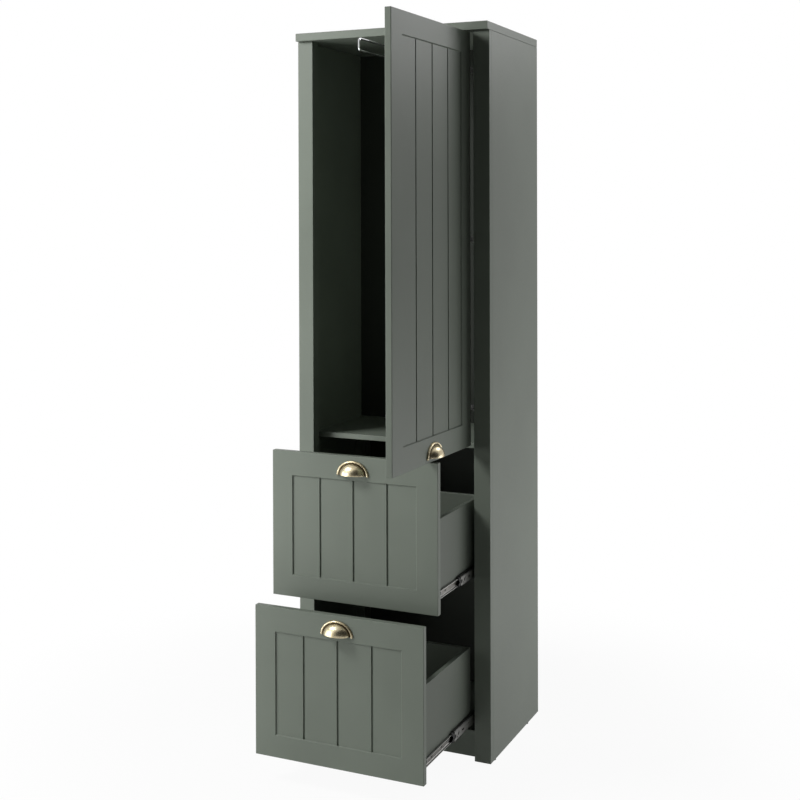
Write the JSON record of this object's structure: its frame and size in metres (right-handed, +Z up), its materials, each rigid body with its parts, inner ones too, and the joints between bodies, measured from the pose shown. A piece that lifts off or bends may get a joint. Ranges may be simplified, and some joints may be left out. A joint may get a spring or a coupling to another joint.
{
  "type": "wardrobe",
  "caption": "Tall narrow wardrobe with a framed hinged door over framed drawers on telescopic slides, and a pull-out clothes rail inside.",
  "frame": {"origin": "middle of the bounding box's underside, on the floor plane, with the door open and the drawers pulled out as modelled", "axes": "+Z up; -Y is the front, towards which the door and the drawers open; +X is the hinge side, on the right of someone facing the front"},
  "size_m": [0.583, 0.8764, 2],
  "materials": {
    "cabinet_paint": "grey-green lacquered wood board",
    "drawer_wood": "grey-green lacquered drawer box",
    "back_board": "thin lacquered board",
    "zinc": "zinc-plated steel sheet",
    "chrome_rod": "polished plated rod",
    "aged_brass": "dark aged brass",
    "black_plastic": "black moulded plastic"
  },
  "bodies": {
    "carcass": {"top_board": "cabinet_paint", "left_side_panel": "cabinet_paint", "left_front_post": "cabinet_paint", "left_rear_batten": "cabinet_paint", "left_front_glide": "black_plastic", "left_rear_glide": "black_plastic", "right_side_panel": "cabinet_paint", "right_front_post": "cabinet_paint", "right_rear_batten": "cabinet_paint", "right_front_glide": "black_plastic", "right_rear_glide": "black_plastic", "back_panel": "back_board", "compartment_shelf": "cabinet_paint", "plinth_board": "cabinet_paint", "bottom_board": "cabinet_paint", "hinge_batten": "cabinet_paint", "rail_carrier": "zinc", "upper_left_slide_cabinet_member": "zinc", "upper_right_slide_cabinet_member": "zinc", "lower_left_slide_cabinet_member": "zinc", "lower_right_slide_cabinet_member": "zinc", "bottom_hinge_arm": "zinc", "middle_hinge_arm": "zinc", "top_hinge_arm": "zinc"},
    "hinge_links": {"bottom_hinge_link": "zinc", "middle_hinge_link": "zinc", "top_hinge_link": "zinc"},
    "door": {"door_panel": "cabinet_paint", "door_handle": "aged_brass", "bottom_hinge_cup": "zinc", "middle_hinge_cup": "zinc", "top_hinge_cup": "zinc"},
    "upper_drawer": {"upper_drawer_front": "cabinet_paint", "upper_drawer_left_side": "drawer_wood", "upper_drawer_right_side": "drawer_wood", "upper_drawer_back": "drawer_wood", "upper_drawer_bottom": "drawer_wood", "upper_drawer_handle": "aged_brass", "upper_left_slide_drawer_member": "zinc", "upper_right_slide_drawer_member": "zinc"},
    "upper_slide_middles": {"upper_left_slide_middle_member": "zinc", "upper_left_slide_retainer": "black_plastic", "upper_right_slide_middle_member": "zinc", "upper_right_slide_retainer": "black_plastic"},
    "lower_drawer": {"lower_drawer_front": "cabinet_paint", "lower_drawer_left_side": "drawer_wood", "lower_drawer_right_side": "drawer_wood", "lower_drawer_back": "drawer_wood", "lower_drawer_bottom": "drawer_wood", "lower_drawer_handle": "aged_brass", "lower_left_slide_drawer_member": "zinc", "lower_right_slide_drawer_member": "zinc"},
    "lower_slide_middles": {"lower_left_slide_middle_member": "zinc", "lower_left_slide_retainer": "black_plastic", "lower_right_slide_middle_member": "zinc", "lower_right_slide_retainer": "black_plastic"},
    "clothes_rail": {"clothes_rail": "chrome_rod", "rail_slider": "black_plastic"}
  },
  "joints": [
    {"name": "hinge_link_swing", "type": "hinge", "parent": "carcass", "child": "hinge_links", "pos_m": [0.19975, 0.0584, 1.416], "axis": [0, 0, 1], "range_deg": [-4.56, 34.41]},
    {"name": "door_hinge", "type": "hinge", "parent": "hinge_links", "child": "door", "pos_m": [0.21949, 0.03269, 1.416], "axis": [0, 0, 1], "range_deg": [-122.76, 16.1]},
    {"name": "upper_drawer_slide", "type": "slide", "parent": "carcass", "child": "upper_drawer", "axis": [0, 1, 0], "range_m": [-0.1092, 0.2408]},
    {"name": "upper_slide_middle", "type": "slide", "parent": "carcass", "child": "upper_slide_middles", "axis": [0, 1, 0], "range_m": [-0.0546, 0.1204]},
    {"name": "lower_drawer_slide", "type": "slide", "parent": "carcass", "child": "lower_drawer", "axis": [0, 1, 0], "range_m": [-0.0158, 0.3342]},
    {"name": "lower_slide_middle", "type": "slide", "parent": "carcass", "child": "lower_slide_middles", "axis": [0, 1, 0], "range_m": [-0.0079, 0.1671]},
    {"name": "clothes_rail_slide", "type": "slide", "parent": "carcass", "child": "clothes_rail", "axis": [0, 1, 0], "range_m": [-0.0293, 0.2222]}
  ],
  "couplings": [
    {"joint": "hinge_link_swing", "follows": "door_hinge", "ratio": -0.27991},
    {"joint": "upper_slide_middle", "follows": "upper_drawer_slide", "ratio": 0.5},
    {"joint": "lower_slide_middle", "follows": "lower_drawer_slide", "ratio": 0.5},
    {"joint": "clothes_rail_slide", "follows": "door_hinge", "m_per_rad": -0.10361}
  ]
}
